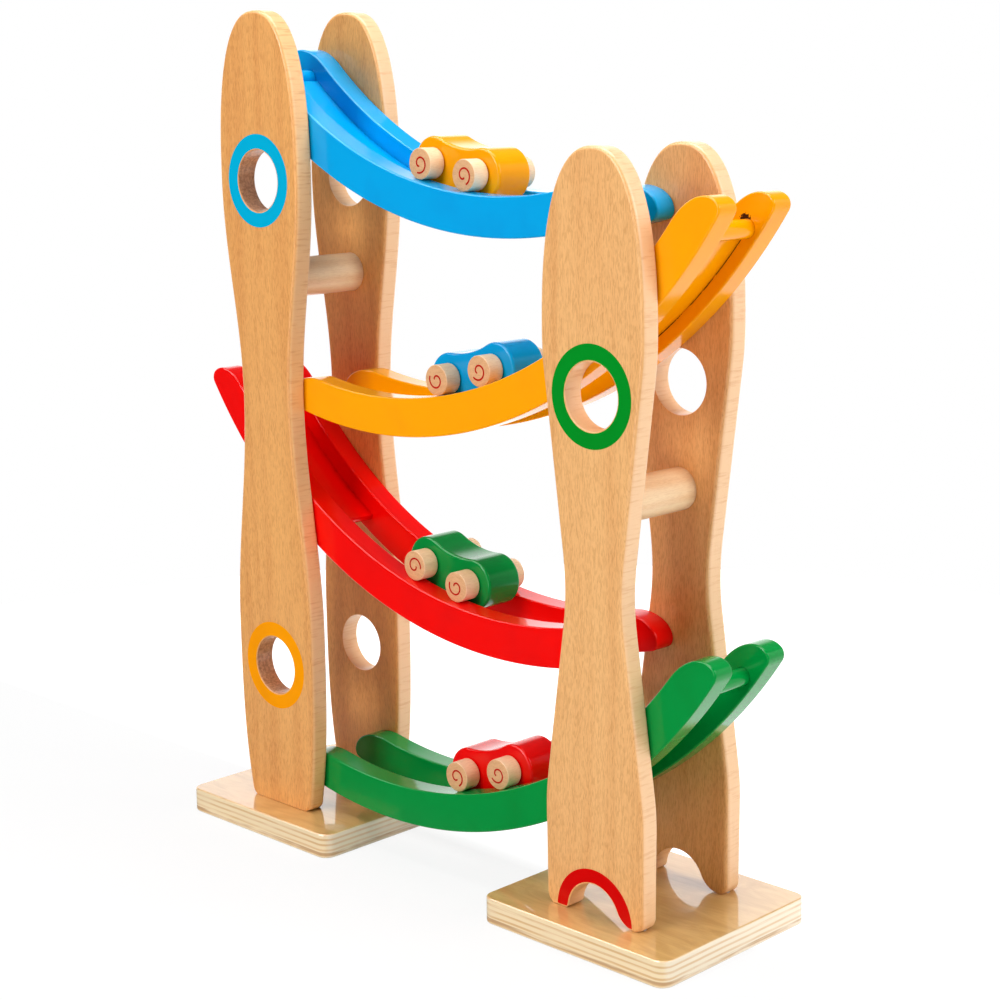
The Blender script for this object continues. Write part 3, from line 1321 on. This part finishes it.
# %% [markdown]
# ## Floor, light and background
# The toy stands on a pale floor in a white studio. The floor is a round sheet that shows
# white to the camera and keeps only a breath of the toy's shadow. Mirrors see it white
# behind the toy and dark in front of it. The surroundings are white as well, but dark
# towards the room in front: that is what the front faces mirror, and it keeps their paint
# deep. Soft lamps stand in front, on the right and overhead. Two white reflectors, which
# only mirrors see, draw bright lines on the rounded edges.

# %% Floor
FLOOR_R, FLOOR_SHADOW, ROOM_DARK, FLOOR_WHITE = 0.62, 0.14, 0.06, 1.5
WHITE, PAPER = (1, 1, 1, 1), (0.86, 0.86, 0.86, 1)

floor_mesh = bpy.data.meshes.new("floor")
rim_points = [(x, y, 0) for x, y in circle(0, 0, FLOOR_R)]
floor_mesh.from_pydata(rim_points, [], [list(range(len(rim_points)))])
floor = bpy.data.objects.new("floor", floor_mesh)
bpy.context.scene.collection.objects.link(floor)

pale_floor = bpy.data.materials.new("pale floor")
pale_floor.use_nodes = True
tree = Tree(pale_floor.node_tree)
rays = tree.add("LightPath", {})
seen = tree.most(tree.most(rays["Is Camera Ray"], rays["Is Glossy Ray"]), rays["Is Transmission Ray"])
behind = tree.parts(tree.add("TexCoord", {})["Object"])["Y"]
mirror_white = tree.eased(behind, -0.1, 0.08, ROOM_DARK, FLOOR_WHITE)
paper = tree.add("BsdfDiffuse", {"Color": PAPER})[0]
strength = tree.most(rays["Is Camera Ray"], mirror_white)
white = tree.add("Emission", {"Color": WHITE, "Strength": strength})[0]
share = tree.minus(seen, tree.times(rays["Is Camera Ray"], FLOOR_SHADOW))
tree.add("OutputMaterial", {"Surface": tree.add("MixShader", {0: share, 1: paper, 2: white})[0]})
floor_mesh.materials.append(pale_floor)
print("floor radius", FLOOR_R, "m")

# %% [markdown]
# The surroundings look different to three kinds of ray. The camera sees plain white.
# Mirrors see the bright backdrop up to some height, the dark room and the two reflectors.
# All other surfaces get a soft light, more of it from the floor than from above.

# %% Surroundings
SKY_LIGHT, FLOOR_LIGHT, BACKDROP, REFLECTOR, FRONT_BAND = 0.2, 0.75, 1.8, 7.0, 4.0
BACKDROP_WAY, LEFT_REFLECTOR = (-0.45, 0.88, 0), (-0.38, -0.42, 0.82)

world = bpy.data.worlds.new("white studio")
bpy.context.scene.world = world
world.use_nodes = True
tree = Tree(world.node_tree)
rays = tree.add("LightPath", {})
way = tree.add("TexCoord", {})["Generated"]
toward = tree.parts(way)
to_back = tree.vector("DOT_PRODUCT", way, BACKDROP_WAY)["Value"]
backdrop = tree.eased(to_back, 0.1, 0.65, ROOM_DARK, BACKDROP)
backdrop = tree.times(backdrop, tree.eased(toward["Z"], 0.38, 0.55, 1.0, 0.1))
to_left = tree.vector("DOT_PRODUCT", way, LEFT_REFLECTOR)["Value"]
reflector = tree.times(tree.eased(to_left, 0.84, 0.94), REFLECTOR)
forward = tree.eased(tree.times(toward["Y"], -1.0), 0.6, 0.85)
sideways = tree.eased(tree.maths("ABSOLUTE", toward["X"]), 0.16, 0.34)
front_band = tree.times(tree.times(forward, tree.inverse(sideways)), FRONT_BAND)
bright = tree.most(tree.most(backdrop, reflector), front_band)
limits = {"From Min": -0.08, "From Max": 0.04, "To Min": FLOOR_LIGHT, "To Max": SKY_LIGHT}
soft = tree.add("MapRange", {"Value": toward["Z"], **limits})["Result"]
plain_white, mirrored_white, soft_light = (
    tree.add("Background", {"Color": WHITE, "Strength": strength})[0] for strength in (1.0, bright, soft))
glossy = tree.most(rays["Is Glossy Ray"], rays["Is Transmission Ray"])
unseen = tree.add("MixShader", {0: glossy, 1: soft_light, 2: mirrored_white})[0]
whole = tree.add("MixShader", {0: rays["Is Camera Ray"], 1: unseen, 2: plain_white})[0]
tree.add("OutputWorld", {"Surface": whole})
print("surroundings:", len(world.node_tree.nodes), "nodes")

# %% [markdown]
# The lamps are soft and all look at the middle of the toy. The Standard view shows the
# paints in their own colours.

# %% Lamps
LAMPS = (
    ("front softbox", (-0.1, -1.45, 1.0), 0.6, 14.0),
    ("right softbox", (1.35, 0.35, 0.95), 0.8, 13.0),
    ("top softbox", (0.0, 0.1, 1.7), 1.0, 19.0),
)
AIM = Vector((0, 0, 0.2))
for name, at_point, size, power in LAMPS:
    lamp = bpy.data.objects.new(name, bpy.data.lights.new(name, "AREA"))
    lamp.data.shape = "RECTANGLE"
    lamp.data.size = lamp.data.size_y = size
    lamp.data.energy = power
    lamp.location = at_point
    lamp.rotation_euler = (AIM - Vector(at_point)).to_track_quat("-Z", "Y").to_euler()
    bpy.context.scene.collection.objects.link(lamp)
bpy.context.scene.view_settings.view_transform = "Standard"
print("lamps:", [name for name, *_ in LAMPS])

# %% [markdown]
# ## Size and hand-over
# The finished model has to stay inside the box of the solids, so both boxes are written
# down. The last line checks that every piece rides on a body.
